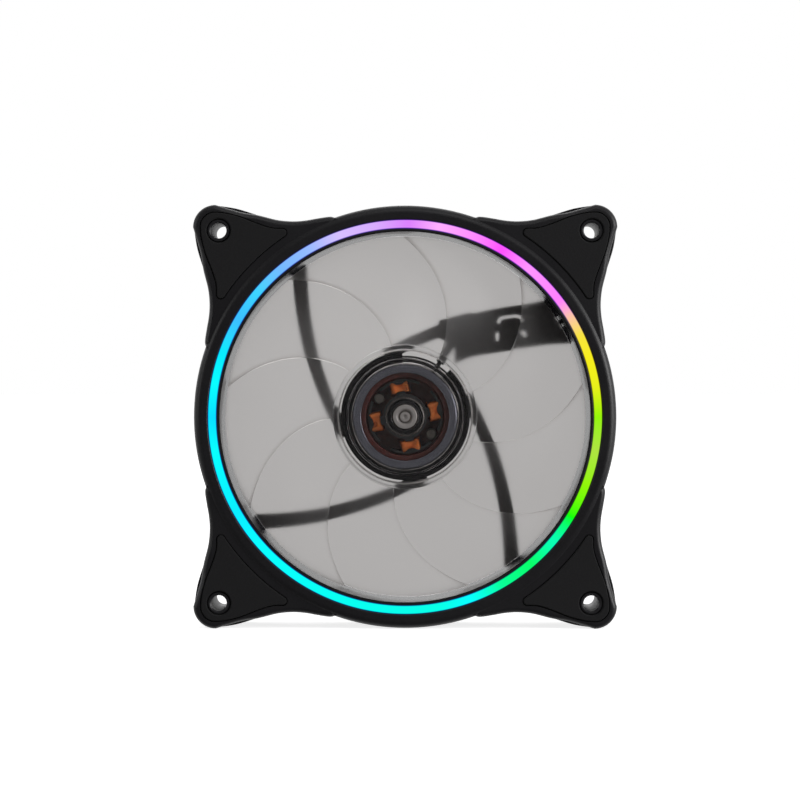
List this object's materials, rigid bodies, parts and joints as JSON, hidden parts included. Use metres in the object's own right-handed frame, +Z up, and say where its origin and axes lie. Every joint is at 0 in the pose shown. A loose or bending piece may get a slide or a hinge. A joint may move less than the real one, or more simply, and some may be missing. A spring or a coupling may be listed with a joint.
{
  "type": "case fan",
  "caption": "Square-framed axial case fan with a clear impeller, a colour light ring round the duct, soft corner pads and a brushless motor in the hub.",
  "frame": {"origin": "under the middle of the frame, on the surface that the fan stands on", "axes": "+Z up, +X to the right seen from the lit face, -Y out of the lit face (air intake side), +Y out of the strut side"},
  "size_m": [0.1196, 0.025, 0.1196],
  "materials": {
    "moulded_black": "fine moulded texture, satin black",
    "bezel_black": "fine moulded texture, satin black",
    "pad_rubber": "matt soft elastomer, fine grain",
    "milky_diffuser": "milky light-spreading plastic, lit in a ring of colours",
    "white_board": "white solder mask",
    "led_white": "white chip body with a clear lens",
    "brown_board": "brown paper laminate",
    "chip_black": "black moulded package",
    "capacitor_tan": "fired ceramic",
    "label_foil": "blank satin foil label",
    "insulator_black": "black moulded nylon",
    "lamination_steel": "stamped, stacked sheet edges",
    "enamelled_copper": "wound enamelled copper wire",
    "post_grey": "grey, slightly glossy",
    "sintered_bronze": "sintered, oily",
    "lead_jacket": "smooth black wire jacket",
    "clear_plastic": "clear, slightly smoky, polished",
    "rotor_steel": "drawn steel cup, plated",
    "ferrite_brown": "plastic-bonded ferrite",
    "bright_steel": "ground steel"
  },
  "bodies": {
    "frame": {"coil_1": "enamelled_copper", "coil_2": "enamelled_copper", "coil_3": "enamelled_copper", "coil_4": "enamelled_copper", "driver_chip": "chip_black", "filter_capacitor": "capacitor_tan", "frame_housing": "moulded_black", "front_bezel": "bezel_black", "front_pad_bottom_left": "pad_rubber", "front_pad_bottom_right": "pad_rubber", "front_pad_top_left": "pad_rubber", "front_pad_top_right": "pad_rubber", "hall_sensor": "chip_black", "insulator_front": "insulator_black", "insulator_rear": "insulator_black", "led_01": "led_white", "led_02": "led_white", "led_03": "led_white", "led_04": "led_white", "led_05": "led_white", "led_06": "led_white", "led_07": "led_white", "led_08": "led_white", "led_09": "led_white", "led_10": "led_white", "led_11": "led_white", "led_12": "led_white", "led_board": "white_board", "led_lead": "lead_jacket", "light_diffuser": "milky_diffuser", "motor_board": "brown_board", "rear_label": "label_foil", "rear_pad_bottom_left": "pad_rubber", "rear_pad_bottom_right": "pad_rubber", "rear_pad_top_left": "pad_rubber", "rear_pad_top_right": "pad_rubber", "sleeve_bearing": "sintered_bronze", "stator_core": "lamination_steel", "terminal_post_1": "post_grey", "terminal_post_2": "post_grey", "thrust_cap": "chip_black"},
    "rotor": {"impeller": "clear_plastic", "rotor_yoke": "rotor_steel", "magnet_ring": "ferrite_brown", "shaft": "bright_steel", "shaft_bush": "bright_steel", "retaining_clip": "bright_steel"}
  },
  "joints": [
    {"name": "impeller_spin", "type": "hinge", "parent": "frame", "child": "rotor", "pos_m": [0, 0, 0.0598], "axis": [0, -1, 0], "continuous": true}
  ]
}
